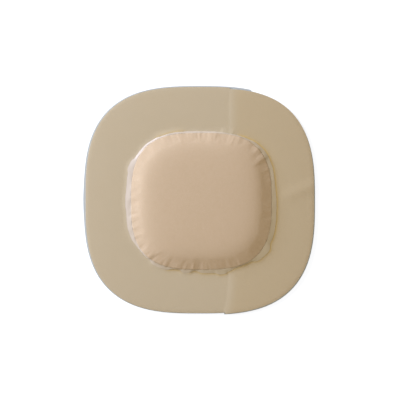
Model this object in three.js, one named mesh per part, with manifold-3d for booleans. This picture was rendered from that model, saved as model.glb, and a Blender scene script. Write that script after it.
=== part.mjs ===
// Adhesive foam dressing in millimetres, +Z up, lying on its release liner with the film side up.
// A foam pad with a crimped bevelled rim fills the hole of an adhesive border. One clear film
// covers pad and border, and two overlapping liner pieces cover the adhesive underneath.

import * as THREE from 'three';
import Module from 'manifold-3d';
import { mergeVertices } from 'three/addons/utils/BufferGeometryUtils.js';

// Outline shared by the border and the film, a square with bowed sides and round corners
const dressingWidth = 125;
const dressingDepth = 123.6;
const dressingPower = 2.95;
const dressingCentre = { x: 0.18, y: -0.11 };

// Foam pad, whose centre lies a little off the centre of the dressing
const padWidth = 76.8;
const padDepth = 74.6;
const padPower = 2.95;
const padOffset = { x: 0.78, y: -0.77 };
const padEdgeHeight = 1.8;
const padBevelWidth = 5;
const padBevelSlope = 0.32;
const padShoulderFade = 3.6;
const padCrownSlope = 0.03;

// Crimps pressed round the rim of the pad, up and out by turns, with uneven spacing and depth
const crimpCount = 72;
const crimpDepth = 0.3;
const crimpFlare = 0.5;
const crimpReach = 8;
const crimpDrift = 0.35;
const crimpUnevenness = 0.3;

// Adhesive border, tapering outwards before its bevelled edge
const borderThickness = 1.15;
const borderTaper = 0.3;
const borderEdgeThickness = 0.6;
const borderBevelWidth = 2;
const holeLipRise = 0.18;
const holeLipWidth = 2.4;

// Strip of bare film between the rim of the pad and the hole edge of the border. Each lobe is
// centred at an angle in degrees and opens the strip by its reach over its half width.
const skirtWidth = 0.55;
const skirtLobes = [
  { at: 5, half: 45, reach: 1.45 },
  { at: 96, half: 25, reach: 0.5 },
  { at: 135, half: 12, reach: 0.95 },
  { at: 153, half: 5, reach: 0.9 },
  { at: 180, half: 32, reach: 2.1 },
  { at: 180, half: 6, reach: 0.5 },
  { at: 238, half: 8, reach: 1.1 },
  { at: 258, half: 4.5, reach: 1.3 },
  { at: 281, half: 14, reach: 1.45 },
  { at: 286, half: 4, reach: 0.9 },
  { at: 319, half: 8, reach: 1.9 },
  { at: 346, half: 22, reach: 0.7 },
];
const lobePower = 6;

// Backing film
const filmThickness = 0.08;
const laminateGap = 0.05;

// Release liner in two pieces, standing out all round by a margin
const linerMarginX = 0.8;
const linerMarginY = 0.5;
const linerPower = 2.91;
const linerThickness = 0.15;
const linerOverlap = 12;
const linerJoggle = 1.5;
const linerSlip = 0.75;
const linerClearance = 0.3;
const linerBulge = 0.4;
const linerBulgeSpread = 9;

// Crease over the free edge of the right liner piece
const creaseAcross = 16.3;
const creaseTilt = 0.004;
const creaseBendRun = 18.3;
const creaseBend = 0.0075;
const creaseLift = 0.25;
const creaseLead = 0.5;
const creaseSteepWidth = 1.6;
const creaseSteepShare = 0.6;
const creaseRunout = 6.5;
const creaseShear = 0.9;
const creaseShearReach = 24;

// Places of the facet lines beside the crease, in degrees, and how far round they fan out
const creaseFacetLines = [-0.8, 0, 0.6, 1.8, 4, 6.8];
const creaseFan = Math.PI / 3;

// Number of facets
const rimFacets = 2 * crimpCount;
const midFacets = 72;
const coreFacets = 36;
const borderFacets = 120;
const linerFacets = 144;
const creaseStations = 12;
const weldDistance = 1e-5;

const TURN = 2 * Math.PI;
const padCentre = {
  x: dressingCentre.x + padOffset.x,
  y: dressingCentre.y + padOffset.y,
};
const linerWidth = dressingWidth + 2 * linerMarginX;
const linerDepth = dressingDepth + 2 * linerMarginY;
const deckHeight = linerThickness;

const wasm = await Module();
wasm.setup();

// Point of a superellipse at a polar angle
function outlinePoint(centre, halfWidth, halfDepth, power, angle) {
  const c = Math.cos(angle);
  const s = Math.sin(angle);
  const reach = (Math.abs(c / halfWidth) ** power + Math.abs(s / halfDepth) ** power) ** (-1 / power);
  return { x: centre.x + reach * c, y: centre.y + reach * s };
}

// Outline of the pad, drawn in by an inset from its rim
function padOutline(angle, inset = 0) {
  return outlinePoint(padCentre, padWidth / 2 - inset, padDepth / 2 - inset, padPower, angle);
}

// Width of the bare film strip at a polar angle, the sum of flat-topped lobes
function skirtAt(angle) {
  let width = skirtWidth;
  for (const lobe of skirtLobes) {
    const away = wrapAngle(angle - THREE.MathUtils.degToRad(lobe.at));
    const half = THREE.MathUtils.degToRad(lobe.half);
    width += lobe.reach * Math.exp(-((away / half) ** lobePower));
  }
  return width;
}

function wrapAngle(angle) {
  return Math.atan2(Math.sin(angle), Math.cos(angle));
}

// Hole of the border
function holeOutline(angle) {
  return padOutline(angle, -skirtAt(angle));
}

// Outer edge of the border and film, before the shear at the crease
function dressingOutline(angle) {
  return outlinePoint(dressingCentre, dressingWidth / 2, dressingDepth / 2, dressingPower, angle);
}

// Free edge of the right liner piece, as x over y, bent near the edge at -Y
function creaseX(y) {
  const bend = Math.max(0, creaseBendRun - linerDepth / 2 - y);
  return creaseAcross + creaseTilt * y - creaseBend * bend ** 2;
}

// Lift of the dressing where it climbs over the liner edge
function creaseLiftAt(point) {
  const past = point.x - creaseX(point.y) + creaseLead;
  if (past <= 0) {
    return 0;
  }
  const steep = Math.min(1, past / creaseSteepWidth) * creaseSteepShare;
  const slow = THREE.MathUtils.clamp((past - creaseSteepWidth) / creaseRunout, 0, 1);
  return creaseLift * (steep + slow * (1 - creaseSteepShare));
}

// The part right of the crease has slid a little towards -Y, most at the crease
function sheared(point) {
  const past = point.x - creaseX(point.y);
  if (past <= 0) {
    return point;
  }
  return { x: point.x, y: point.y - creaseShear * Math.exp(-past / creaseShearReach) };
}

// Angle at which an outline crosses the crease, between two angles on either side of it
function creaseAngle(outline, rightAngle, leftAngle) {
  let right = rightAngle;
  let left = leftAngle;
  for (let i = 0; i < 40; i += 1) {
    const middle = (right + left) / 2;
    const point = outline(middle);
    if (point.x > creaseX(point.y)) {
      right = middle;
    } else {
      left = middle;
    }
  }
  return (right + left) / 2;
}

// Facet lines of the border: each leaves the hole at one angle and meets the outer edge at another,
// so that one of them runs along the crease at the top and one at the bottom
const creaseEnds = [1, -1].map((side) => {
  const hole = creaseAngle(holeOutline, 0, side * Math.PI / 2);
  const rim = creaseAngle(dressingOutline, 0, side * Math.PI / 2);
  return { side, hole, turn: rim - hole };
});

function outerAngle(angle) {
  let turned = angle;
  for (const end of creaseEnds) {
    const near = Math.abs(wrapAngle(angle - end.hole)) / creaseFan;
    turned += near < 1 ? end.turn * Math.cos(near * Math.PI / 2) ** 2 : 0;
  }
  return turned;
}

// Angles of the facet lines, evenly spread but closer together at the crease
function borderAngles() {
  const angles = [];
  for (const end of creaseEnds) {
    for (const line of creaseFacetLines) {
      const angle = end.hole - end.side * THREE.MathUtils.degToRad(line);
      angles.push((angle + TURN) % TURN);
    }
  }
  const spacing = TURN / borderFacets;
  const isFree = (angle) => angles.every((taken) => Math.abs(wrapAngle(angle - taken)) > spacing / 2);
  const even = Array.from({ length: borderFacets }, (_, i) => i * spacing);
  return [...angles, ...even.filter(isFree)].sort((a, b) => a - b);
}

// Angles round the rim, one peak and one valley for each crimp, with uneven spacing
function rimAngles(count) {
  const spacing = TURN / count;
  return Array.from({ length: count }, (_, i) => {
    const angle = i * spacing;
    return angle + crimpDrift * spacing * (Math.sin(5 * angle + 1) + Math.sin(13 * angle));
  });
}

// Height of a crimp, up at even angles and down at odd ones, deeper in some stretches than others
function crimpAt(index, angle, inset) {
  const fade = Math.max(0, 1 - inset / crimpReach);
  const strength = 1 - crimpUnevenness * (1 + Math.sin(3 * angle + 2) * Math.sin(7 * angle));
  return crimpDepth * fade * strength * (index % 2 === 0 ? 1 : -1);
}

// Height of the pad's top at an inset from its rim: a straight bevel, a shoulder where its slope
// dies away, and a low crown that is level in the middle
function padHeight(inset) {
  const past = Math.max(0, inset - padBevelWidth);
  const crownRun = padDepth / 2 - padBevelWidth;
  const bevelRise = padBevelSlope * Math.min(inset, padBevelWidth);
  const fullShoulder = (padBevelSlope - padCrownSlope) * padShoulderFade;
  const shoulderRise = fullShoulder * (1 - Math.exp(-past / padShoulderFade));
  const crownRise = padCrownSlope * (past - past ** 2 / (2 * crownRun));
  return padEdgeHeight + bevelRise + shoulderRise + crownRise;
}

// Rings of the pad's top, from the rim inwards
const shoulderEnd = padBevelWidth + 2 * padShoulderFade;
const padRingPlan = [
  { inset: 0, facets: rimFacets },
  { inset: padBevelWidth / 2, facets: rimFacets },
  { inset: padBevelWidth, facets: rimFacets },
  { inset: padBevelWidth + padShoulderFade, facets: midFacets },
  { inset: shoulderEnd, facets: midFacets },
  { inset: THREE.MathUtils.lerp(shoulderEnd, padDepth / 2, 1 / 3), facets: coreFacets },
  { inset: THREE.MathUtils.lerp(shoulderEnd, padDepth / 2, 2 / 3), facets: coreFacets },
];

function padRing({ inset, facets }) {
  return rimAngles(facets).map((angle, index) => {
    const crimp = facets === rimFacets ? crimpAt(index, angle, inset) : 0;
    const point = padOutline(angle, inset - crimp * crimpFlare);
    return { u: angle, x: point.x, y: point.y, z: deckHeight + padHeight(inset) + crimp };
  });
}

// Ring of the border's top, at a distance from the hole edge or from the outer edge, or between them
function borderRing({ fromHole, fromRim, share, drop }) {
  return borderAngles().map((angle) => {
    const hole = holeOutline(angle);
    const rim = sheared(dressingOutline(outerAngle(angle)));
    const span = Math.hypot(rim.x - hole.x, rim.y - hole.y);
    const t = share ?? (fromHole !== undefined ? fromHole / span : 1 - fromRim / span);
    const x = THREE.MathUtils.lerp(hole.x, rim.x, t);
    const y = THREE.MathUtils.lerp(hole.y, rim.y, t);
    const thickness = borderThickness - borderTaper * t ** 2 - drop;
    return { u: angle, x, y, z: deckHeight + thickness + creaseLiftAt({ x, y }) };
  });
}

const padRings = padRingPlan.map(padRing);
const borderTopRings = [
  { fromHole: 0, drop: -holeLipRise },
  { fromHole: holeLipWidth, drop: 0 },
  { share: 0.5, drop: 0 },
  { fromRim: borderBevelWidth, drop: 0 },
  { fromRim: 0, drop: borderThickness - borderTaper - borderEdgeThickness },
].map(borderRing);
const padCrownHeight = padHeight(padDepth / 2);

const lowered = (ring, z) => ring.map((p) => ({ ...p, z }));

// Joins rings of points into one skin. Neighbouring rings may differ in their number of points.
function joinRings(rings) {
  const positions = rings.flatMap((ring) => ring.flatMap((p) => [p.x, p.y, p.z]));
  const starts = [];
  const faces = [];
  rings.reduce((first, ring) => starts.push(first) && first + ring.length, 0);
  for (let r = 0; r + 1 < rings.length; r += 1) {
    zip(rings[r], starts[r], rings[r + 1], starts[r + 1], faces);
  }
  return { positions, faces, starts };
}

function indexedGeometry(positions, faces) {
  const geometry = new THREE.BufferGeometry();
  geometry.setAttribute('position', new THREE.Float32BufferAttribute(positions, 3));
  geometry.setIndex(faces);
  return geometry;
}

// Solid between rings, whose ends are centre points or one and the same ring
function loft(rings) {
  const { positions, faces } = joinRings(rings);
  return indexedGeometry(positions, faces);
}

// Sheet of even thickness that keeps a gap to the rings it follows, with a wall at the last ring
function sheet(rings, gap, thickness) {
  const { positions, faces, starts } = joinRings(rings);
  const raised = (by) => positions.map((value, i) => (i % 3 === 2 ? value + by : value));
  const skins = [...raised(gap + thickness), ...raised(gap)];
  const under = positions.length / 3;
  const underFaces = [];
  for (let f = 0; f < faces.length; f += 3) {
    underFaces.push(faces[f] + under, faces[f + 2] + under, faces[f + 1] + under);
  }
  const rim = rings.at(-1);
  const wallFaces = [];
  zip(rim, starts.at(-1), rim, starts.at(-1) + under, wallFaces);
  return indexedGeometry(skins, [...faces, ...underFaces, ...wallFaces]);
}

// Triangles between two rings, always stepping on along the ring whose next point comes first
function zip(a, aStart, b, bStart, faces) {
  const steps = (ring) => (ring.length > 1 ? ring.length : 0);
  const angleAt = (ring, i) => (i < ring.length ? ring[i].u : ring[0].u + TURN);
  let i = 0;
  let j = 0;
  while (i < steps(a) || j < steps(b)) {
    const stepA = i < steps(a) && (j >= steps(b) || angleAt(a, i + 1) <= angleAt(b, j + 1));
    const pointA = aStart + (i % a.length);
    const pointB = bStart + (j % b.length);
    if (stepA) {
      faces.push(pointA, pointB, aStart + ((i + 1) % a.length));
      i += 1;
    } else {
      faces.push(pointA, pointB, bStart + ((j + 1) % b.length));
      j += 1;
    }
  }
}

const crownPoint = (z) => [{ u: 0, x: padCentre.x, y: padCentre.y, z }];

function filmGeometry() {
  const skin = [crownPoint(deckHeight + padCrownHeight), ...padRings.toReversed(), ...borderTopRings];
  return sheet(skin, laminateGap, filmThickness);
}

function padBlank() {
  const rim = padRings[0];
  return loft([
    crownPoint(deckHeight + padCrownHeight),
    ...padRings.toReversed(),
    lowered(rim, deckHeight),
    crownPoint(deckHeight),
  ]);
}

function borderBlank() {
  const holeFoot = lowered(borderTopRings[0], deckHeight);
  const rimFoot = lowered(borderTopRings.at(-1), deckHeight);
  return loft([holeFoot, ...borderTopRings, rimFoot, holeFoot]);
}

// Bar that follows the crease: a closed profile of [distance past the crease, height] points
function sweepAlongCrease(profile) {
  const halfRun = linerDepth;
  const contour = profile.map(([x, y]) => new THREE.Vector2(x, y));
  const positions = [];
  for (let s = 0; s <= creaseStations; s += 1) {
    const y = THREE.MathUtils.lerp(-halfRun, halfRun, s / creaseStations);
    const bendY = Math.max(y, -linerDepth / 2);
    contour.forEach((p) => positions.push(creaseX(bendY) + p.x, y, p.y));
  }
  const faces = [];
  const n = contour.length;
  for (let s = 0; s < creaseStations; s += 1) {
    for (let k = 0; k < n; k += 1) {
      const a = s * n + k;
      const b = s * n + ((k + 1) % n);
      faces.push(a, a + n, b, b, a + n, b + n);
    }
  }
  const cap = THREE.ShapeUtils.triangulateShape(contour, []);
  const last = creaseStations * n;
  cap.forEach(([a, b, c]) => faces.push(a, b, c, last + c, last + b, last + a));
  return indexedGeometry(positions, faces);
}

// Upright block with the outline of the liner, which bulges a little at -X, slid along Y
function linerBlock(slideY) {
  const points = Array.from({ length: linerFacets }, (_, i) => {
    const angle = i * TURN / linerFacets;
    const centre = { x: 0, y: slideY };
    const p = outlinePoint(centre, linerWidth / 2, linerDepth / 2, linerPower, angle);
    const away = wrapAngle(angle - Math.PI) / THREE.MathUtils.degToRad(linerBulgeSpread);
    return new THREE.Vector2(p.x - linerBulge * Math.exp(-(away ** 2)), p.y);
  });
  const height = 6 * linerThickness;
  const block = new THREE.ExtrudeGeometry(new THREE.Shape(points), { depth: height, bevelEnabled: false });
  return block.translate(0, 0, -height / 3);
}

function toSolid(geometry) {
  const bare = geometry.clone();
  bare.deleteAttribute('normal');
  bare.deleteAttribute('uv');
  const merged = mergeVertices(bare, weldDistance);
  const mesh = new wasm.Mesh({
    numProp: 3,
    vertProperties: Float32Array.from(merged.attributes.position.array),
    triVerts: Uint32Array.from(merged.index.array),
  });
  return new wasm.Manifold(mesh);
}

function toGeometry(solid) {
  const mesh = solid.getMesh();
  const geometry = new THREE.BufferGeometry();
  geometry.setAttribute('position', new THREE.BufferAttribute(mesh.vertProperties, 3));
  geometry.setIndex(new THREE.BufferAttribute(mesh.triVerts, 1));
  return geometry;
}

// The left piece runs flat under the overlap, the right piece steps down beyond its end
const farSide = linerWidth;
const leftProfile = [
  [-farSide, 0],
  [linerOverlap - linerClearance, 0],
  [linerOverlap - linerClearance, linerThickness],
  [-farSide, linerThickness],
];
const rightProfile = [
  [0, linerThickness],
  [linerOverlap, linerThickness],
  [linerOverlap + linerJoggle, 0],
  [farSide, 0],
  [farSide, linerThickness],
  [linerOverlap + linerJoggle, linerThickness],
  [linerOverlap, 2 * linerThickness],
  [0, 2 * linerThickness],
];

// Room that the border and the pad leave over the overlap
const reliefProfile = [
  [-linerClearance, 0],
  [linerOverlap + 2 * linerJoggle + linerClearance, 0],
  [linerOverlap + linerClearance, 2 * linerThickness],
  [-linerClearance, 2 * linerThickness],
];

const relief = toSolid(sweepAlongCrease(reliefProfile));

function overLiner(blank) {
  return toGeometry(toSolid(blank).subtract(relief));
}

function linerPiece(profile, slideY) {
  return toGeometry(toSolid(sweepAlongCrease(profile)).intersect(toSolid(linerBlock(slideY))));
}

function named(name, geometry, look) {
  const material = new THREE.MeshStandardMaterial({ metalness: 0, side: THREE.FrontSide, ...look });
  const flat = geometry.index ? geometry.toNonIndexed() : geometry;
  flat.computeVertexNormals();
  const mesh = new THREE.Mesh(flat, material);
  mesh.name = name;
  return mesh;
}

const filmLook = { color: 0xd9cbb8, roughness: 0.4, transparent: true, opacity: 0.35 };
const foamLook = { color: 0xc9b096, roughness: 0.9 };
const gelLook = { color: 0xbeae93, roughness: 0.5 };
const linerLook = { color: 0xbcbfc0, roughness: 0.35 };
const dressing = new THREE.Group();
dressing.name = 'adhesive_foam_dressing';
dressing.add(
  named('backing_film', filmGeometry(), filmLook),
  named('foam_pad', overLiner(padBlank()), foamLook),
  named('adhesive_border', overLiner(borderBlank()), gelLook),
  named('release_liner_left', linerPiece(leftProfile, 0), linerLook),
  named('release_liner_right', linerPiece(rightProfile, -linerSlip), linerLook),
);

// The origin is the middle of the whole outline, on the surface that the dressing lies on
const middle = new THREE.Box3().setFromObject(dressing).getCenter(new THREE.Vector3());
dressing.children.forEach((mesh) => mesh.geometry.translate(-middle.x, -middle.y, 0));

export default dressing;
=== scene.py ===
"""Adhesive foam dressing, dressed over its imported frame.

The dressing lies film side up on its release liner. The foam pad, the adhesive border and the
backing film are modelled again as fine meshes over the frame's plain solids. The liner pieces keep
the frame's solids and get a finish. All lengths are in metres, in the frame's own axes.
"""

import logging
import math
from dataclasses import dataclass, field
from enum import Enum

import bpy
import numpy as np
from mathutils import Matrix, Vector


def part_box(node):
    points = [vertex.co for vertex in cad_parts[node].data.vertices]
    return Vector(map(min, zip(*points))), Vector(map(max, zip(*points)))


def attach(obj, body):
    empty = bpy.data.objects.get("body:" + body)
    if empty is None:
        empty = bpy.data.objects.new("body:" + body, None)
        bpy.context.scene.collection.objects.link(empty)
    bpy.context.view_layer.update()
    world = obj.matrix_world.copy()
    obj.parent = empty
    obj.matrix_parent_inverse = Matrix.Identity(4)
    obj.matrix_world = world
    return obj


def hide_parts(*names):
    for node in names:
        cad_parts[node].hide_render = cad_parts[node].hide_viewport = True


LOG = logging.getLogger("dressing")
MM = 0.001
BODY = "root"
CRIMP_FULL = 0.5 * MM
CRIMP_END = 8.5 * MM

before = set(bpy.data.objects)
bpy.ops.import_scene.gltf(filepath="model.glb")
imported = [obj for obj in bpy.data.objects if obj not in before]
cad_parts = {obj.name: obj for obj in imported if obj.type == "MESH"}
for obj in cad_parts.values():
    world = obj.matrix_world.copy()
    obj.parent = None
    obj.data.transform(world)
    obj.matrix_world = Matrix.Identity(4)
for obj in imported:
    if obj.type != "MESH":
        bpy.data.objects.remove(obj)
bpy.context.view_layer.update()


class Bond(Enum):
    """What the film lies on, with the milkiness that it has there."""

    FOAM = 0.0
    AIR = 1.0
    GEL = 0.02


@dataclass(frozen=True)
class Outline:
    """Square with bowed sides and round corners, a superellipse about a centre.

    Attributes:
        centre: Centre in X and Y.
        half_width: Half of the size along X.
        half_depth: Half of the size along Y.
        power: Exponent, where 2 is an ellipse and more is squarer.
    """

    centre: tuple[float, float]
    half_width: float
    half_depth: float
    power: float

    def at(self, angle: np.ndarray, outset: np.ndarray | float = 0.0) -> np.ndarray:
        """Point of the outline at a polar angle.

        Args:
            angle: Polar angles in radians.
            outset: Growth of both half sizes, negative inwards.

        Returns:
            Array of X and Y for each angle.
        """
        c, s = np.cos(angle), np.sin(angle)
        reach = (np.abs(c / (self.half_width + outset)) ** self.power
                 + np.abs(s / (self.half_depth + outset)) ** self.power) ** (-1.0 / self.power)
        return np.stack([self.centre[0] + reach * c, self.centre[1] + reach * s], axis=-1)


@dataclass(frozen=True)
class Lobe:
    """Flat-topped lobe over a span of angle, of the hole edge or of a swell of the gel.

    Attributes:
        at: Polar angle of its middle in degrees.
        half: Half of its width in degrees.
        reach: How far it opens the bare strip, or how high the gel swells.
    """

    at: float
    half: float
    reach: float

    def width(self, angle: np.ndarray) -> np.ndarray:
        """Reach of the lobe at each angle."""
        away = np.degrees(wrap(angle - math.radians(self.at))) / self.half
        return self.reach * np.exp(-away ** 6)


@dataclass(frozen=True)
class Fold:
    """One larger pressed fold across the rim of the pad.

    Attributes:
        at: Polar angle of its steep side in degrees.
        spread: Degrees over which it fades out on its other side, negative for the other hand.
        height: Height of the step on its steep side.
        slant: Degrees that it leans for each millimetre inwards.
    """

    at: float
    spread: float
    height: float
    slant: float = 0.0


@dataclass(frozen=True)
class AmberSpan:
    """Span of the hole edge along which the amber line shows.

    Attributes:
        start: Polar angle of its first end in degrees.
        end: Polar angle of its other end in degrees.
        strength: Strength of the line, from 0 to 1.
    """

    start: float
    end: float
    strength: float

    def shown(self, degrees: np.ndarray, fade: float) -> np.ndarray:
        """Strength of the line at each angle.

        Args:
            degrees: Polar angles in degrees.
            fade: Half of the width over which an end fades, in degrees.

        Returns:
            The strengths.
        """
        middle, half = (self.start + self.end) / 2.0, (self.end - self.start) / 2.0
        away = np.abs((degrees - middle + 180.0) % 360.0 - 180.0)
        return self.strength * (1.0 - smooth(half - fade, half + fade, away))


@dataclass(frozen=True)
class Ridge:
    """Soft straight ridge in the border.

    Attributes:
        start: Inner end, from the middle of the dressing's outline.
        end: Outer end.
        height: Height of its back.
        spread: Distance over which its flanks fall away.
        fade_from: Distance along it, from the inner end, at which it starts to rise.
        fade_to: Distance along it at which it has its full height.
    """

    start: tuple[float, float] = (45.2 * MM, 1.2 * MM)
    end: tuple[float, float] = (61.5 * MM, 7.6 * MM)
    height: float = 0.22 * MM
    spread: float = 3.6 * MM
    fade_from: float = -4.0 * MM
    fade_to: float = 5.0 * MM

    def rise(self, x: np.ndarray, y: np.ndarray) -> np.ndarray:
        """Height that the ridge adds.

        Args:
            x: X of the points, from the middle of the dressing's outline.
            y: Y of the points, from there too.

        Returns:
            The height at each point.
        """
        run = np.array(self.end) - np.array(self.start)
        length = float(np.hypot(*run))
        along = ((x - self.start[0]) * run[0] + (y - self.start[1]) * run[1]) / length
        across = ((y - self.start[1]) * run[0] - (x - self.start[0]) * run[1]) / length
        shown = smooth(self.fade_from, self.fade_to, along)
        return self.height * shown * np.exp(-(across / self.spread) ** 2)


def wrap(angle: np.ndarray) -> np.ndarray:
    """Angle brought into the range from minus pi to pi."""
    return np.arctan2(np.sin(angle), np.cos(angle))


def smooth(edge0: float, edge1: float, value: np.ndarray) -> np.ndarray:
    """Smooth ramp from 0 at one edge to 1 at the other.

    Args:
        edge0: Value at which the ramp leaves 0.
        edge1: Value at which it reaches 1.
        value: Values to ramp.

    Returns:
        The ramp, with flat ends.
    """
    t = np.clip((value - edge0) / (edge1 - edge0), 0.0, 1.0)
    return t * t * (3.0 - 2.0 * t)


@dataclass(frozen=True)
class Crease:
    """Crease over the free edge of the right liner piece.

    Its places are measured from the middle of the dressing's outline.

    Attributes:
        centre: Middle of the dressing's outline.
        across: X of the crease at the middle.
        tilt: Change of X for each unit of Y.
        bend_start: Y below which the crease bends.
        bend: Curvature of the bend, for each metre.
        lift: Height that the dressing climbs there, at the middle.
        lift_fade: Loss of lift with each unit of Y.
        lead: How far before the edge the climb starts.
        runout: Distance over which the climb dies away, steepest at the crease.
        shear: Slide of the right part towards -Y.
        shear_reach: Distance over which the slide dies away.
        liner: Thickness of a liner piece.
        overlap: Distance over which the right liner piece lies on the left one.
        overlap_room: Distance over which the gel's underside steps up before the overlap.
    """

    centre: tuple[float, float]
    across: float = 16.12 * MM
    tilt: float = 0.004
    bend_start: float = -43.9 * MM
    bend: float = 7.5
    lift: float = 0.2 * MM
    lift_fade: float = 0.0005
    lead: float = 0.5 * MM
    runout: float = 2.6 * MM
    shear: float = 0.75 * MM
    shear_reach: float = 24.0 * MM
    liner: float = 0.15 * MM
    overlap: float = 12.0 * MM
    overlap_room: float = 1.2 * MM

    def past(self, x: np.ndarray, y: np.ndarray) -> np.ndarray:
        """Distance of points to the right of the crease.

        Args:
            x: X of the points.
            y: Y of the points.

        Returns:
            The distances, negative to its left.
        """
        along = y - self.centre[1]
        bend = np.maximum(0.0, self.bend_start - along)
        return x - self.centre[0] - (self.across + self.tilt * along - self.bend * bend ** 2)

    def climb(self, x: np.ndarray, y: np.ndarray) -> np.ndarray:
        """Height by which the liner edge lifts the dressing.

        Args:
            x: X of the points.
            y: Y of the points.

        Returns:
            The height at each point.
        """
        past = np.maximum(self.past(x, y) + self.lead, 0.0)
        lift = self.lift - self.lift_fade * (y - self.centre[1])
        return lift * (1.0 - np.exp(-past / self.runout)) * smooth(0.0, self.lead, past)

    def step(self, x: np.ndarray, y: np.ndarray) -> np.ndarray:
        """Height of the right liner piece over the left one, with room before and after it.

        Args:
            x: X of the points.
            y: Y of the points.

        Returns:
            The height at each point.
        """
        stations = [-self.overlap_room, -self.overlap_room / 2.0, self.overlap + self.overlap_room / 2.0,
                    self.overlap + 2.0 * self.overlap_room]
        return np.interp(self.past(x, y), stations, [0.0, self.liner, self.liner, 0.0])

    def slide(self, x: np.ndarray, y: np.ndarray) -> np.ndarray:
        """Change in Y of a point right of the crease."""
        past = self.past(x, y)
        return np.where(past > 0.0, -self.shear * np.exp(-np.maximum(past, 0.0) / self.shear_reach), 0.0)


@dataclass
class DressingForm:
    """Sizes that the pad, the border and the film share, and the surface that they follow.

    The places come from the frame's solids, and the outlines repeat those of the part. Heights are
    over the top of the liner.

    Attributes:
        pad_power: Squareness of the pad's outline.
        dressing_power: Squareness of the dressing's outline.
        dressing_depth: Size of the dressing along Y.
        edge_height: Height of the pad at its rim.
        bevel_width: Width of the pad's bevel in plan.
        bevel_slope: Slope of that bevel.
        shoulder_fade: Distance over which the bevel rounds into the top.
        crown_slope: Slope of the crowned top where it starts.
        border_thickness: Thickness of the border at the hole.
        border_taper: Loss of thickness from the hole to the outer edge.
        border_edge: Thickness at the outer edge.
        border_bevel: Width of the bevel at the outer edge.
        lip_rise: Height of the lip at the hole.
        lip_width: Width of that lip.
        deck_gap: Room between the liner and the layers on it.
        film_gap: Room between the film and what it follows.
        film_thickness: Thickness of the film.
        columns: Number of points in each ring.
        ridge: Ridge in the border.
        strip_width: Least width of the bare strip between pad and border.
        strip_wobble: Small waves of the hole edge.
        lobes: Lobes of the hole edge.
        swells: Swells of the gel at the hole.
        swell_width: Distance over which a swell dies away outwards.
        outline_trim: How far the pad's outline stays inside its solid.
        fold_foot: Angle from a fold's step at which it starts to rise, in degrees.
        fold_top: Angle from the step at which it is highest, in degrees.
        folds: Larger folds across the pad's rim.
    """

    pad_power: float = 2.95
    dressing_power: float = 2.95
    dressing_depth: float = 123.6 * MM
    edge_height: float = 1.8 * MM
    bevel_width: float = 5.0 * MM
    bevel_slope: float = 0.32
    shoulder_fade: float = 3.6 * MM
    crown_slope: float = 0.03
    border_thickness: float = 1.15 * MM
    border_taper: float = 0.3 * MM
    border_edge: float = 0.76 * MM
    border_bevel: float = 2.0 * MM
    lip_rise: float = 0.18 * MM
    lip_width: float = 2.4 * MM
    deck_gap: float = 0.02 * MM
    film_gap: float = 0.02 * MM
    film_thickness: float = 0.03 * MM
    columns: int = 640
    ridge: Ridge = field(default_factory=Ridge)
    strip_width: float = 0.55 * MM
    strip_wobble: float = 0.035 * MM
    lobes: tuple[Lobe, ...] = (
        Lobe(5, 45, 1.45 * MM), Lobe(96, 25, 0.5 * MM), Lobe(135, 12, 0.4 * MM),
        Lobe(153, 5, 0.9 * MM), Lobe(180, 32, 2.1 * MM), Lobe(180, 6, 0.5 * MM),
        Lobe(238, 8, 1.1 * MM), Lobe(258, 4.5, 1.3 * MM), Lobe(281, 14, 1.45 * MM),
        Lobe(286, 4, 0.9 * MM), Lobe(319, 8, 1.9 * MM), Lobe(346, 22, 0.7 * MM),
    )
    swells: tuple[Lobe, ...] = (Lobe(69, 5, 0.22 * MM), Lobe(114, 11, 0.22 * MM))
    swell_width: float = 3.6 * MM
    outline_trim: float = 0.1 * MM
    fold_foot: float = -2.2
    fold_top: float = 1.2
    folds: tuple[Fold, ...] = (
        Fold(34, 16, 0.50 * MM), Fold(54, 5, 0.12 * MM), Fold(81, -5, 0.10 * MM),
        Fold(108, 5, 0.12 * MM), Fold(127, 6, 0.10 * MM), Fold(193, 5, 0.10 * MM),
        Fold(211, 5, 0.10 * MM), Fold(228, -8, 0.22 * MM, 0.5), Fold(240, -5, 0.12 * MM),
        Fold(260, 5, 0.14 * MM), Fold(302, 8, 0.20 * MM), Fold(314, -7, 0.22 * MM),
        Fold(323, 6, 0.14 * MM), Fold(332, -5, 0.16 * MM), Fold(346, -8, 0.20 * MM, -0.6),
    )

    def __post_init__(self) -> None:
        """Take the places from the frame."""
        pad_low, pad_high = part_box("foam_pad")
        border_low, border_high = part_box("adhesive_border")
        self.deck = pad_low[2] + self.deck_gap
        self.angles = np.linspace(0.0, 2.0 * math.pi, self.columns, endpoint=False)
        half_width = (border_high[0] - border_low[0]) / 2.0
        half_depth = self.dressing_depth / 2.0
        centre = (border_low[0] + half_width, border_high[1] - half_depth)
        self.rim = Outline(centre, half_width, half_depth, self.dressing_power)
        self.crease = Crease(centre)
        pad_centre = ((pad_low[0] + pad_high[0]) / 2.0, (pad_low[1] + pad_high[1]) / 2.0)
        self.pad = Outline(pad_centre, (pad_high[0] - pad_low[0]) / 2.0 - self.outline_trim,
                           (pad_high[1] - pad_low[1]) / 2.0 - self.outline_trim, self.pad_power)

    def hole(self) -> np.ndarray:
        """Hole edge of the border.

        Returns:
            X and Y of each column.
        """
        width = self.strip_width + sum(lobe.width(self.angles) for lobe in self.lobes)
        width += self.strip_wobble * (np.sin(47 * self.angles) + np.sin(29 * self.angles + 2.0))
        return self.pad.at(self.angles, width)

    def outer(self) -> np.ndarray:
        """Outer edge of the dressing.

        Returns:
            X and Y of each column.
        """
        points = self.rim.at(self.angles)
        points[:, 1] += self.crease.slide(points[:, 0], points[:, 1])
        return points

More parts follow.
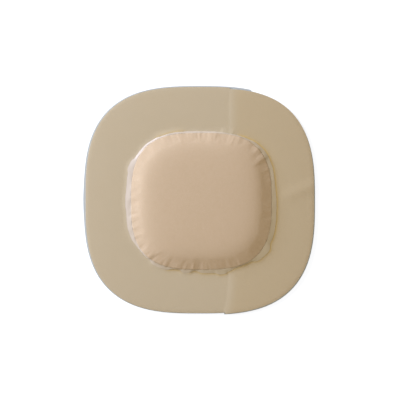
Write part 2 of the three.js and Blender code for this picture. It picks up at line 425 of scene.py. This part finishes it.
    def pad_height(self, inset: float) -> float:
        """Height of the pad's top over the liner.

        Args:
            inset: Distance in from the pad's rim.

        Returns:
            The height, without crimps and folds.
        """
        past = max(0.0, inset - self.bevel_width)
        crown_run = self.pad.half_depth - self.bevel_width
        full_shoulder = (self.bevel_slope - self.crown_slope) * self.shoulder_fade
        return (self.edge_height + self.bevel_slope * min(inset, self.bevel_width)
                + full_shoulder * (1.0 - math.exp(-past / self.shoulder_fade))
                + self.crown_slope * (past - past ** 2 / (2.0 * crown_run)))

    def border_height(self, from_hole: np.ndarray, from_rim: np.ndarray) -> np.ndarray:
        """Height of the border's top over the liner.

        Args:
            from_hole: Distances from the hole edge.
            from_rim: Distances from the outer edge.

        Returns:
            The heights, without the climb at the crease.
        """
        share = from_hole / (from_hole + from_rim)
        height = self.border_thickness - self.border_taper * share ** 2
        height += self.lip_rise * (1.0 - np.clip(from_hole / self.lip_width, 0.0, 1.0)) ** 2
        swell = sum(lobe.width(self.angles) for lobe in self.swells)
        height += swell * (1.0 - smooth(0.0, self.swell_width, from_hole))
        edge = np.clip(from_rim / self.border_bevel, 0.0, 1.0)
        drop = self.border_thickness - self.border_taper - self.border_edge
        return height - drop * (1.0 - np.sin(edge * math.pi / 2.0))

    def fold_height(self, inset: float) -> np.ndarray:
        """Height of the larger folds.

        Args:
            inset: Distance in from the pad's rim.

        Returns:
            The height at each column.
        """
        total = np.zeros_like(self.angles)
        for fold in self.folds:
            at = math.radians(fold.at + fold.slant * inset / MM)
            away = np.degrees(wrap(self.angles - at)) * math.copysign(1.0, fold.spread)
            fade = np.exp(-np.maximum(away, 0.0) / abs(fold.spread))
            total += fold.height * smooth(self.fold_foot, self.fold_top, away) * fade
        return total


@dataclass
class Ring:
    """One ring of a lofted mesh.

    Attributes:
        points: X, Y and Z of each column.
        hold: How much of the crimping the ring takes, from 0 to 1.
        tone: Strength of the finish's second colour at each column.
        side: Place of each column from the left side's colour, 0, to the right side's, 1; on the film's
            strip it carries painted shade, darkest on the side away from the window light.
    """

    points: np.ndarray
    hold: float = 0.0
    tone: np.ndarray | float = 0.0
    side: np.ndarray | float = 0.0


class LoftedMesh:
    """Closed or ring-shaped solid lofted through rings with one column count."""

    def __init__(self, name: str, rings: list[Ring], closed_ends: bool) -> None:
        """Make the mesh and its object.

        Args:
            name: Name of the piece.
            rings: Rings in order over the skin, with the solid on the right hand of their path.
            closed_ends: True where the first and last ring shrink to a point, False where the
                last ring joins the first.
        """
        columns = len(rings[0].points)
        points = np.concatenate([ring.points for ring in rings])
        hold = np.concatenate([np.full(columns, ring.hold) for ring in rings])
        tone = np.concatenate([np.broadcast_to(ring.tone, columns) for ring in rings])
        side = np.concatenate([np.broadcast_to(ring.side, columns) for ring in rings])
        index = np.arange(len(rings) * columns).reshape(len(rings), columns)
        follow = index if closed_ends else np.vstack([index, index[:1]])
        inner, outer = follow[:-1], follow[1:]
        quads = np.stack([inner, outer, np.roll(outer, -1, 1), np.roll(inner, -1, 1)], -1).reshape(-1, 4)
        faces = quads.tolist()
        if closed_ends:
            first, last = len(points), len(points) + 1
            points = np.vstack([points, rings[0].points.mean(0), rings[-1].points.mean(0)])
            hold = np.append(hold, [0.0, 0.0])
            tone = np.append(tone, [tone[0], tone[-1]])
            side = np.append(side, [side[0], side[-1]])
            faces += [[first, a, b] for a, b in zip(index[0], np.roll(index[0], -1))]
            faces += [[last, b, a] for a, b in zip(index[-1], np.roll(index[-1], -1))]
        mesh = bpy.data.meshes.new(name)
        mesh.from_pydata(points.tolist(), [], faces)
        for label, values in (("hold", hold), ("tone", tone), ("side", side)):
            layer = mesh.attributes.new(label, "FLOAT", "POINT")
            layer.data.foreach_set("value", values.astype(np.float32))
        mesh.polygons.foreach_set("use_smooth", [True] * len(mesh.polygons))
        mesh.update()
        self.object = bpy.data.objects.new(name, mesh)
        bpy.context.scene.collection.objects.link(self.object)


class NodeSheet:
    """Small helper that adds nodes to a tree and links them by name."""

    def __init__(self, tree: bpy.types.NodeTree) -> None:
        """Keep the tree."""
        self.tree = tree

    def add(self, kind: str, inputs: dict | None = None, **settings: object) -> bpy.types.Node:
        """Add a node.

        Args:
            kind: Node type.
            inputs: Input name or index to a value, or to an output socket to link from.
            settings: Node properties to set.

        Returns:
            The node.
        """
        node = self.tree.nodes.new(kind)
        for name, value in settings.items():
            setattr(node, name, value)
        for name, value in (inputs or {}).items():
            socket = node.inputs[name]
            if isinstance(value, bpy.types.NodeSocket):
                self.tree.links.new(value, socket)
            else:
                socket.default_value = value
        return node

    def math(self, operation: str, first: object, second: object = 0.0) -> bpy.types.NodeSocket:
        """Output of a Math node on two values or sockets."""
        return self.add("ShaderNodeMath", {0: first, 1: second}, operation=operation).outputs[0]

    def vector(self, operation: str, first: object, second: object = (0.0, 0.0, 0.0)) -> bpy.types.Node:
        """Vector Math node on two vectors."""
        return self.add("ShaderNodeVectorMath", {0: first, 1: second}, operation=operation)


@dataclass(frozen=True)
class RimCrimps:
    """Geometry Nodes tree that crimps the rim of the pad by a rule.

    The pattern is noise read on a circle, so it runs straight in from the rim and closes on
    itself. Every mesh that takes it with the same inputs is crimped alike.

    Attributes:
        centre: Middle of the pad's outline.
        crimp_count: Radius of the crimps' circle in the noise, so more gives more crimps.
        crimp_depth: Height of a crimp from trough to crest.
        pleat_count: The same for the broader pleats.
        pleat_depth: Height of a pleat.
        flare: Share of a crimp's height by which it also moves outwards.
        seed: Place in the noise that the pattern is read from.
    """

    centre: tuple[float, float]
    crimp_count: float = 16.0
    crimp_depth: float = 0.45 * MM
    pleat_count: float = 6.0
    pleat_depth: float = 0.6 * MM
    flare: float = 0.4
    seed: float = 3.7

    def tree(self) -> bpy.types.NodeTree:
        """Build the tree, once for each file.

        Returns:
            The node tree, new or known from an earlier call.
        """
        known = bpy.data.node_groups.get("rim_crimps")
        if known is not None:
            return known
        tree = bpy.data.node_groups.new("rim_crimps", "GeometryNodeTree")
        face = tree.interface
        face.new_socket("Geometry", in_out="INPUT", socket_type="NodeSocketGeometry")
        for name, kind in (("Centre X", "NodeSocketFloat"), ("Centre Y", "NodeSocketFloat"),
                           ("Crimp Count", "NodeSocketFloat"), ("Crimp Depth", "NodeSocketFloat"),
                           ("Pleat Count", "NodeSocketFloat"), ("Pleat Depth", "NodeSocketFloat"),
                           ("Flare", "NodeSocketFloat"), ("Seed", "NodeSocketFloat"),
                           ("Finish", "NodeSocketMaterial")):
            face.new_socket(name, in_out="INPUT", socket_type=kind)
        face.new_socket("Geometry", in_out="OUTPUT", socket_type="NodeSocketGeometry")
        sheet = NodeSheet(tree)
        given = sheet.add("NodeGroupInput")
        centre = sheet.add("ShaderNodeCombineXYZ", {"X": given.outputs["Centre X"],
                                                   "Y": given.outputs["Centre Y"]})
        place = sheet.add("GeometryNodeInputPosition")
        away = sheet.vector("SUBTRACT", place.outputs[0], centre.outputs[0])
        level = sheet.vector("MULTIPLY", away.outputs[0], (1.0, 1.0, 0.0))
        heading = sheet.vector("NORMALIZE", level.outputs[0])
        hold = sheet.add("GeometryNodeInputNamedAttribute", {"Name": "hold"}, data_type="FLOAT")
        share = hold.outputs["Attribute"]
        crimp = self._wave(sheet, heading.outputs[0], share, given.outputs["Crimp Count"],
                           given.outputs["Crimp Depth"], given.outputs["Seed"])
        shifted = sheet.math("ADD", given.outputs["Seed"], 11.0)
        pleat = self._wave(sheet, heading.outputs[0], share, given.outputs["Pleat Count"],
                           given.outputs["Pleat Depth"], shifted)
        fine = sheet.math("MULTIPLY", crimp, sheet.math("POWER", share, 1.5))
        rise = sheet.math("ADD", fine, sheet.math("MULTIPLY", pleat, share))
        upward = sheet.add("ShaderNodeCombineXYZ", {"Z": rise})
        spread = sheet.math("MULTIPLY", fine, given.outputs["Flare"])
        outward = sheet.add("ShaderNodeVectorMath", {0: heading.outputs[0], "Scale": spread},
                            operation="SCALE")
        offset = sheet.vector("ADD", upward.outputs[0], outward.outputs[0])
        moved = sheet.add("GeometryNodeSetPosition", {"Geometry": given.outputs["Geometry"],
                                                     "Offset": offset.outputs[0]})
        real = sheet.add("GeometryNodeRealizeInstances", {0: moved.outputs[0]})
        dressed = sheet.add("GeometryNodeSetMaterial", {"Geometry": real.outputs[0],
                                                       "Material": given.outputs["Finish"]})
        sheet.add("NodeGroupOutput", {0: dressed.outputs[0]})
        return tree

    @staticmethod
    def _wave(sheet: NodeSheet, heading: object, share: object, count: object, depth: object,
              seed: object) -> object:
        """Noise read on a circle and changing inwards, centred on zero.

        Args:
            sheet: Helper on the tree.
            heading: Direction out from the centre.
            share: Share of the crimping that a point takes.
            count: Radius of the circle in the noise, so more gives more waves.
            depth: Height from trough to crest.
            seed: Place in the noise's fourth dimension.

        Returns:
            The socket with the wave's height.
        """
        circle = sheet.add("ShaderNodeVectorMath", {0: heading, "Scale": count}, operation="SCALE")
        inwards = sheet.add("ShaderNodeCombineXYZ", {"Z": sheet.math("MULTIPLY", share, 1.2)})
        place = sheet.vector("ADD", circle.outputs[0], inwards.outputs[0])
        noise = sheet.add("ShaderNodeTexNoise", {"Vector": place.outputs[0], "W": seed, "Scale": 1.0,
                                                 "Detail": 1.0, "Roughness": 0.4},
                          noise_dimensions="4D")
        centred = sheet.math("SUBTRACT", noise.outputs[0], 0.5)
        return sheet.math("MULTIPLY", centred, depth)

    def apply(self, piece: bpy.types.Object, finish: bpy.types.Material) -> bpy.types.Object:
        """Crimp a piece and turn the result into a plain mesh.

        Args:
            piece: Piece with the attribute hold.
            finish: Material that the tree sets.

        Returns:
            The same object with its new mesh.
        """
        tree = self.tree()
        modifier = piece.modifiers.new("rim_crimps", "NODES")
        modifier.node_group = tree
        values = {"Centre X": self.centre[0], "Centre Y": self.centre[1], "Crimp Count": self.crimp_count,
                  "Crimp Depth": self.crimp_depth, "Pleat Count": self.pleat_count,
                  "Pleat Depth": self.pleat_depth, "Flare": self.flare, "Seed": self.seed,
                  "Finish": finish}
        set_inputs(modifier, values)
        return bake(piece)


def set_inputs(modifier: bpy.types.NodesModifier, values: dict[str, object]) -> None:
    """Set a modifier's inputs by their sockets' identifiers."""
    for item in modifier.node_group.interface.items_tree:
        if item.in_out == "INPUT" and item.name in values:
            modifier[item.identifier] = values[item.name]


def bake(piece: bpy.types.Object) -> bpy.types.Object:
    """Replace a piece's mesh by its evaluated one and drop its modifiers.

    Args:
        piece: Piece with modifiers.

    Returns:
        The same object with its new mesh.
    """
    graph = bpy.context.evaluated_depsgraph_get()
    result = bpy.data.meshes.new_from_object(piece.evaluated_get(graph), preserve_all_data_layers=True,
                                             depsgraph=graph)
    piece.modifiers.clear()
    piece.data = result
    piece.data.name = piece.name
    return piece


def linear(red: int, green: int, blue: int) -> tuple[float, float, float, float]:
    """Linear colour of an 8 bit display colour.

    Args:
        red: Red from 0 to 255.
        green: Green from 0 to 255.
        blue: Blue from 0 to 255.

    Returns:
        The linear colour with an alpha of 1.
    """
    def channel(value: int) -> float:
        share = value / 255.0
        return share / 12.92 if share <= 0.04045 else ((share + 0.055) / 1.055) ** 2.4
    return channel(red), channel(green), channel(blue), 1.0


class Finish:
    """Base of the finishes: a node material with a Principled shader."""

    def start(self, name: str) -> tuple[bpy.types.Material, NodeSheet, bpy.types.Node]:
        """Make an empty material.

        Args:
            name: Name of the material.

        Returns:
            The material, the helper on its tree, and its Principled shader.
        """
        material = bpy.data.materials.new(name)
        material.use_nodes = True
        material.node_tree.nodes.clear()
        sheet = NodeSheet(material.node_tree)
        shader = sheet.add("ShaderNodeBsdfPrincipled")
        sheet.add("ShaderNodeOutputMaterial", {"Surface": shader.outputs[0]})
        return material, sheet, shader

    @staticmethod
    def noise(sheet: NodeSheet, scale: float, detail: float) -> bpy.types.NodeSocket:
        """Noise on Object coordinates.

        Args:
            sheet: Helper on the material's tree.
            scale: Number of waves for each metre.
            detail: Number of finer layers.

        Returns:
            The socket with the noise.
        """
        where = sheet.add("ShaderNodeTexCoord")
        texture = sheet.add("ShaderNodeTexNoise", {"Vector": where.outputs["Object"], "Scale": scale,
                                                   "Detail": detail, "Roughness": 0.55})
        return texture.outputs[0]

    @staticmethod
    def blend(sheet: NodeSheet, share: object, first: object, second: object) -> bpy.types.NodeSocket:
        """Mix of two colours."""
        mix = sheet.add("ShaderNodeMix", {0: share, 6: first, 7: second}, data_type="RGBA")
        return mix.outputs[2]

    @staticmethod
    def ramp(sheet: NodeSheet, value: object, low: float, high: float) -> bpy.types.NodeSocket:
        """Smooth ramp of a value from 0 to 1."""
        node = sheet.add("ShaderNodeMapRange", {0: value, 1: low, 2: high, 3: 0.0, 4: 1.0},
                         interpolation_type="SMOOTHSTEP")
        return node.outputs[0]

    @staticmethod
    def attribute(sheet: NodeSheet, name: str) -> bpy.types.NodeSocket:
        """Value of a float attribute."""
        return sheet.add("ShaderNodeAttribute", attribute_name=name).outputs["Fac"]


@dataclass(frozen=True)
class FoamFinish(Finish):
    """Skin-coloured foam with a fine matte face."""

    base: tuple = linear(198, 173, 145)
    deep: tuple = linear(195, 170, 141)
    roughness: float = 0.8
    grain: float = 0.05

    def build(self) -> bpy.types.Material:
        """Make the material."""
        material, sheet, shader = self.start("foam")
        mottle = self.ramp(sheet, self.noise(sheet, 900.0, 3.0), 0.3, 0.7)
        colour = self.blend(sheet, mottle, self.base, self.deep)
        sheet.tree.links.new(colour, shader.inputs["Base Color"])
        shader.inputs["Roughness"].default_value = self.roughness
        shader.inputs["Specular IOR Level"].default_value = 0.2
        grain = self.noise(sheet, 1800.0, 3.0)
        bump = sheet.add("ShaderNodeBump", {"Height": grain, "Strength": self.grain, "Distance": 0.2 * MM})
        sheet.tree.links.new(bump.outputs[0], shader.inputs["Normal"])
        return material


@dataclass(frozen=True)
class GelFinish(Finish):
    """Tan adhesive gel, greyer left of the crease and yellower right of it."""

    left: tuple = linear(188, 171, 143)
    right: tuple = linear(185, 165, 132)
    amber: tuple = linear(194, 162, 92)
    roughness: float = 0.5
    grain: float = 0.03

    def build(self) -> bpy.types.Material:
        """Make the material."""
        material, sheet, shader = self.start("gel")
        cloud = self.ramp(sheet, self.noise(sheet, 45.0, 3.0), 0.3, 0.7)
        colour = self.blend(sheet, self.attribute(sheet, "side"), self.left, self.right)
        tint = self.blend(sheet, sheet.math("MULTIPLY", cloud, 0.1), colour, self.right)
        amber = self.attribute(sheet, "tone")
        tint = self.blend(sheet, amber, tint, self.amber)
        sheet.tree.links.new(tint, shader.inputs["Base Color"])
        shader.inputs["Roughness"].default_value = self.roughness
        shader.inputs["Specular IOR Level"].default_value = 0.3
        grain = self.noise(sheet, 900.0, 2.0)
        bump = sheet.add("ShaderNodeBump", {"Height": grain, "Strength": self.grain, "Distance": 0.2 * MM})
        sheet.tree.links.new(bump.outputs[0], shader.inputs["Normal"])
        return material


@dataclass(frozen=True)
class FilmFinish(Finish):
    """Clear film, faint where it is bonded down and milky where it bridges the bare strip, with painted
    shade on the strip's side away from the window light.
    """

    # left is the film's lit colour; right is a darker copy of it, painted shade for the side away from the
    # window light.
    left: tuple = linear(205, 189, 174)
    right: tuple = linear(186, 167, 136)
    bonded: float = 0.035
    bridging: float = 0.92
    roughness: float = 0.4

    def build(self) -> bpy.types.Material:
        """Make the material."""
        material, sheet, shader = self.start("film")
        # Painted shade: the side attribute blends the lit colour towards the darker shaded one.
        colour = self.blend(sheet, self.attribute(sheet, "side"), self.left, self.right)
        sheet.tree.links.new(colour, shader.inputs["Base Color"])
        shader.inputs["Roughness"].default_value = self.roughness
        shader.inputs["Specular IOR Level"].default_value = 0.4
        milk = self.attribute(sheet, "tone")
        alpha = sheet.add("ShaderNodeMapRange", {0: milk, 1: 0.0, 2: 1.0, 3: self.bonded, 4: self.bridging})
        sheet.tree.links.new(alpha.outputs[0], shader.inputs["Alpha"])
        return material


@dataclass(frozen=True)
class LinerFinish(Finish):
    """Thin bluish-grey translucent film with a release coat."""

    base: tuple = linear(186, 189, 190)
    cloudy: tuple = linear(180, 184, 186)
    alpha: float = 0.92
    roughness: float = 0.35

    def build(self) -> bpy.types.Material:
        """Make the material."""
        material, sheet, shader = self.start("liner")
        cloud = self.noise(sheet, 60.0, 2.0)
        colour = self.blend(sheet, cloud, self.base, self.cloudy)
        sheet.tree.links.new(colour, shader.inputs["Base Color"])
        shader.inputs["Roughness"].default_value = self.roughness
        shader.inputs["Alpha"].default_value = self.alpha
        return material


@dataclass
class FoamPad:
    """Foam island with a bevelled, crimped rim."""

    form: DressingForm
    crimps: RimCrimps
    wall_shares: tuple[float, ...] = (0.03, 0.25, 0.625, 1.0)
    foot_inset: float = 12.0 * MM

    def insets(self) -> list[float]:
        """Places of the top's rings, fine at the rim and coarser inwards.

        Returns:
            Distances in from the rim.
        """
        fine = [i * 0.44 * MM for i in range(22)]
        coarse = [fine[-1] + (i * 1.15 * MM) for i in range(1, 12)]
        far = [coarse[-1] + i * 3.0 * MM for i in range(1, 5)]
        return fine + coarse + far

    def top_rings(self) -> list[Ring]:
        """Rings of the top.

        Returns:
            The rings from the rim inwards.
        """
        form = self.form
        rings = []
        for inset in self.insets():
            xy = form.pad.at(form.angles, -inset)
            hold = crimp_hold(inset)
            z = form.deck + form.pad_height(inset) + hold * form.fold_height(inset)
            rings.append(Ring(np.column_stack([xy, np.broadcast_to(z, len(xy))]), hold))
        return rings

    def build(self, finish: bpy.types.Material) -> bpy.types.Object:
        """Loft the pad, crimp it and set its finish.

        Args:
            finish: Material of the foam.

        Returns:
            The pad's object.
        """
        form = self.form
        top = self.top_rings()
        rim = top[0].points
        rings = top[::-1]
        for share in self.wall_shares:
            wall = rim.copy()
            wall[:, 2] = form.deck + (rim[:, 2] - form.deck) * (1.0 - share)
            rings.append(Ring(wall, 1.0 - share))
        inner = form.pad.at(form.angles, -self.foot_inset)
        rings.append(Ring(np.column_stack([inner, np.full(len(inner), form.deck)])))
        piece = LoftedMesh("foam_island", rings, closed_ends=True).object
        self.crimps.apply(piece, finish)
        return piece


def crimp_hold(inset: float) -> float:
    """Share of the crimping left at a distance in from the rim."""
    return float(1.0 - smooth(CRIMP_FULL, CRIMP_END, np.array(inset)))


@dataclass
class AdhesiveBorder:
    """Frame of adhesive gel round the pad."""

    form: DressingForm
    rings: int = 34
    amber_spans: tuple[AmberSpan, ...] = (
        AmberSpan(-38, 60, 1.0), AmberSpan(-75, -32, 0.6), AmberSpan(103, 126, 0.6),
        AmberSpan(243, 254, 0.7), AmberSpan(261, 300, 0.6),
    )
    amber_fade: float = 3.0
    amber_core: float = 0.8 * MM
    amber_tail: float = 2.0 * MM
    side_from: float = -0.5 * MM
    side_to: float = 5.5 * MM

    def spacing(self) -> np.ndarray:
        """Shares of the way from hole to outer edge, closer together at both edges."""
        t = np.linspace(0.0, 1.0, self.rings)
        return 0.5 - 0.5 * np.cos(np.pi * t)

    def place(self, share: float) -> tuple[np.ndarray, np.ndarray]:
        """Plan and height of the top at a share of the way out.

        Args:
            share: Share of the way from the hole edge to the outer edge.

        Returns:
            X and Y of each column, and its Z.
        """
        form = self.form
        hole, outer = form.hole(), form.outer()
        span = np.linalg.norm(outer - hole, axis=1)
        xy = hole + (outer - hole) * share
        z = form.deck + form.border_height(span * share, span * (1.0 - share))
        z = z + form.ridge.rise(xy[:, 0] - form.rim.centre[0], xy[:, 1] - form.rim.centre[1])
        return xy, z + form.crease.climb(xy[:, 0], xy[:, 1])

    def amber(self, share: float) -> np.ndarray:
        """Strength of the amber line.

        Args:
            share: Share of the way from the hole edge to the outer edge.

        Returns:
            The strength at each column.
        """
        form = self.form
        hole, outer = form.hole(), form.outer()
        distance = np.linalg.norm(outer - hole, axis=1) * share
        degrees = np.degrees(form.angles)
        shown = np.zeros_like(degrees)
        for span in self.amber_spans:
            shown = np.maximum(shown, span.shown(degrees, self.amber_fade))
        core = 0.8 * np.exp(-(distance / self.amber_core) ** 2)
        return shown * (core + 0.2 * np.exp(-distance / self.amber_tail))

    def build(self, finish: bpy.types.Material) -> bpy.types.Object:
        """Loft the border and set its finish.

        Args:
            finish: Material of the gel.

        Returns:
            The border's object.
        """
        form = self.form
        rings = []
        for share in self.spacing():
            xy, z = self.place(float(share))
            side = smooth(self.side_from, self.side_to, form.crease.past(xy[:, 0], xy[:, 1]))
            rings.append(Ring(np.column_stack([xy, z]), 0.0, self.amber(float(share)), side))
        for share in self.spacing()[::-1]:
            xy, _ = self.place(float(share))
            z = form.deck + form.crease.step(xy[:, 0], xy[:, 1])
            rings.append(Ring(np.column_stack([xy, z])))
        piece = LoftedMesh("gel_frame", rings, closed_ends=False).object
        piece.data.materials.append(finish)
        return piece


@dataclass
class BackingFilm:
    """Clear film over the pad, the bare strip and the border."""

    form: DressingForm
    pad: FoamPad
    border: AdhesiveBorder
    crimps: RimCrimps
    skirt_rings: int = 5
    # Heading in degrees at which the film's painted shade is darkest, opposite the window light.
    painted_shade_heading: float = -25.0

    def skin(self) -> list[Ring]:
        """Rings of the surface that the film follows.

        Returns:
            The rings from the middle out.
        """
        rings = [Ring(ring.points.copy(), ring.hold, Bond.FOAM.value) for ring in self.pad.top_rings()[::-1]]
        rim = rings[-1].points
        foot_xy, foot_z = self.border.place(0.0)
        foot = np.column_stack([foot_xy, foot_z])
        # Painted shade on the strip: side rises to 1 on the side facing away from the window light,
        # darkening the film there.
        side = 0.5 + 0.5 * np.cos(self.form.angles - math.radians(self.painted_shade_heading))
        for share in np.linspace(0.01, 0.99, self.skirt_rings):
            rings.append(Ring(rim + (foot - rim) * share, 1.0 - float(share), Bond.AIR.value, side))
        for share in self.border.spacing():
            xy, z = self.border.place(float(share))
            rings.append(Ring(np.column_stack([xy, z]), 0.0, Bond.GEL.value))
        return rings

    def build(self, finish: bpy.types.Material) -> bpy.types.Object:
        """Loft the film as a thin closed sheet, crimp it and set its finish.

        Args:
            finish: Material of the film.

        Returns:
            The film's object.
        """
        skin = self.skin()
        over, under = [], []
        for ring in skin:
            for rings, raise_by in ((over, self.form.film_gap + self.form.film_thickness),
                                    (under, self.form.film_gap)):
                points = ring.points.copy()
                points[:, 2] += raise_by
                rings.append(Ring(points, ring.hold, ring.tone, ring.side))
        piece = LoftedMesh("clear_film", over + under[::-1], closed_ends=True).object
        self.crimps.apply(piece, finish)
        return piece


@dataclass
class Studio:
    """Floor, lights and camera.

    Attributes:
        dressing_centre: Middle of the dressing's outline.
        view_offset: Place of the camera from there.
        lens: Focal length in millimetres.
        sensor: Width of the sensor in millimetres.
        field_width: Width that the picture spans.
        plane_height: Height of the plane at which it spans that width.
        ambient: Strength of the world's light.
        ambient_colour: Colour of that light.
        key_power: Power of the window light in watts.
        key_colour: Colour of the window light.
        key_azimuth: Direction that it comes from, in degrees.
        key_elevation: Its height over the horizon, in degrees.
        key_distance: Its distance from the dressing.
        key_width: Size of the window along the horizon.
        key_depth: Its other size.
        floor_half: Half of the floor's size.
        floor_drop: How far the floor lies under the liner.
        floor_grey: Share of the light that the floor reflects.
        glow: Strength of the floor's glow where it is looked at.
        glow_colour: Colour of that glow.
    """

    dressing_centre: tuple[float, float]
    view_offset: tuple[float, float] = (0.07 * MM, -0.05 * MM)
    lens: float = 85.0
    sensor: float = 36.0
    field_width: float = 218.7 * MM
    plane_height: float = 1.2 * MM
    ambient: float = 0.62
    ambient_colour: tuple[float, float, float] = (1.0, 0.915, 0.72)
    key_power: float = 38.3
    key_colour: tuple[float, float, float] = (0.68, 0.78, 1.0)
    key_azimuth: float = 151.0
    key_elevation: float = 15.0
    key_distance: float = 1.25
    key_width: float = 0.7
    key_depth: float = 0.35
    floor_half: float = 3.0
    floor_drop: float = 0.03 * MM
    floor_grey: float = 0.42
    glow: float = 0.80
    glow_colour: tuple[float, float, float] = (0.90, 0.93, 1.0)

    @staticmethod
    def seen(sheet: NodeSheet) -> bpy.types.NodeSocket:
        """Test for what is looked at, and not for what lights.

        Args:
            sheet: Helper on a world's or a material's tree.

        Returns:
            The socket with 1 for camera, glossy and transmission rays, and 0 for others.
        """
        path = sheet.add("ShaderNodeLightPath")
        through = sheet.math("MAXIMUM", path.outputs["Is Glossy Ray"], path.outputs["Is Transmission Ray"])
        return sheet.math("MAXIMUM", path.outputs["Is Camera Ray"], through)

    def camera(self) -> None:
        """Place the camera straight above the dressing."""
        data = bpy.data.cameras.new("camera")
        data.lens = self.lens
        data.sensor_width = self.sensor
        data.clip_start = 0.01
        camera = bpy.data.objects.new("camera", data)
        height = self.field_width * self.lens / self.sensor + self.plane_height
        camera.location = (self.dressing_centre[0] + self.view_offset[0],
                           self.dressing_centre[1] + self.view_offset[1], height)
        bpy.context.scene.collection.objects.link(camera)
        bpy.context.scene.camera = camera

    def lights(self) -> None:
        """Level world light, and a soft window light low on the left."""
        world = bpy.data.worlds.new("world")
        world.use_nodes = True
        tree = world.node_tree
        tree.nodes.clear()
        sheet = NodeSheet(tree)
        seen = self.seen(sheet)
        strength = sheet.add("ShaderNodeMapRange", {0: seen, 1: 0.0, 2: 1.0, 3: self.ambient, 4: 1.0})
        tint = sheet.add("ShaderNodeMix", {0: seen, 6: (*self.ambient_colour, 1.0), 7: (1.0, 1.0, 1.0, 1.0)},
                         data_type="RGBA")
        back = sheet.add("ShaderNodeBackground", {"Color": tint.outputs[2],
                                                  "Strength": strength.outputs[0]})
        sheet.add("ShaderNodeOutputWorld", {0: back.outputs[0]})
        bpy.context.scene.world = world
        lamp = bpy.data.lights.new("window", "AREA")
        lamp.shape = "RECTANGLE"
        lamp.size = self.key_width
        lamp.size_y = self.key_depth
        lamp.energy = self.key_power
        lamp.color = self.key_colour
        key = bpy.data.objects.new("window", lamp)
        azimuth, elevation = math.radians(self.key_azimuth), math.radians(self.key_elevation)
        key.location = (self.key_distance * math.cos(elevation) * math.cos(azimuth),
                        self.key_distance * math.cos(elevation) * math.sin(azimuth),
                        self.key_distance * math.sin(elevation))
        key.rotation_euler = key.location.to_track_quat("Z", "Y").to_euler()
        bpy.context.scene.collection.objects.link(key)

    def floor(self) -> bpy.types.Object:
        """White floor just under the liner, which keeps the shadow.

        Returns:
            The floor's object.
        """
        mesh = bpy.data.meshes.new("floor")
        half, low = self.floor_half, -self.floor_drop
        mesh.from_pydata([(-half, -half, low), (half, -half, low), (half, half, low), (-half, half, low)],
                         [], [(0, 1, 2, 3)])
        floor = bpy.data.objects.new("floor", mesh)
        bpy.context.scene.collection.objects.link(floor)
        material = bpy.data.materials.new("floor")
        material.use_nodes = True
        material.node_tree.nodes.clear()
        sheet = NodeSheet(material.node_tree)
        seen = self.seen(sheet)
        diffuse = sheet.add("ShaderNodeBsdfDiffuse", {"Color": (*[self.floor_grey] * 3, 1.0)})
        glow = sheet.add("ShaderNodeEmission", {"Color": (*self.glow_colour, 1.0),
                                                "Strength": sheet.math("MULTIPLY", seen, self.glow)})
        both = sheet.add("ShaderNodeAddShader", {0: diffuse.outputs[0], 1: glow.outputs[0]})
        sheet.add("ShaderNodeOutputMaterial", {"Surface": both.outputs[0]})
        mesh.materials.append(material)
        return floor


def main() -> None:
    """Build and dress every piece."""
    logging.basicConfig(level=logging.INFO)
    form = DressingForm()
    crimps = RimCrimps(form.pad.centre)
    pad = FoamPad(form, crimps)
    border = AdhesiveBorder(form)
    film = BackingFilm(form, pad, border, crimps)

    foam = pad.build(FoamFinish().build())
    gel = border.build(GelFinish().build())
    clear = film.build(FilmFinish().build())
    for piece, node, slot in ((foam, "foam_pad", "foam"), (gel, "adhesive_border", "gel"),
                              (clear, "backing_film", "film")):
        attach(piece, BODY)
        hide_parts(node)
        LOG.info("%s: %d faces", piece.name, len(piece.data.polygons))

    liner = LinerFinish().build()
    for node in ("release_liner_left", "release_liner_right"):
        bpy.data.objects[node].data.materials.clear()
        bpy.data.objects[node].data.materials.append(liner)
        LOG.info("%s: finish set", node)

    studio = Studio(form.rim.centre)
    studio.camera()
    studio.lights()
    studio.floor()
    bpy.context.scene.view_settings.view_transform = "Standard"


if __name__ == "__main__":
    main()
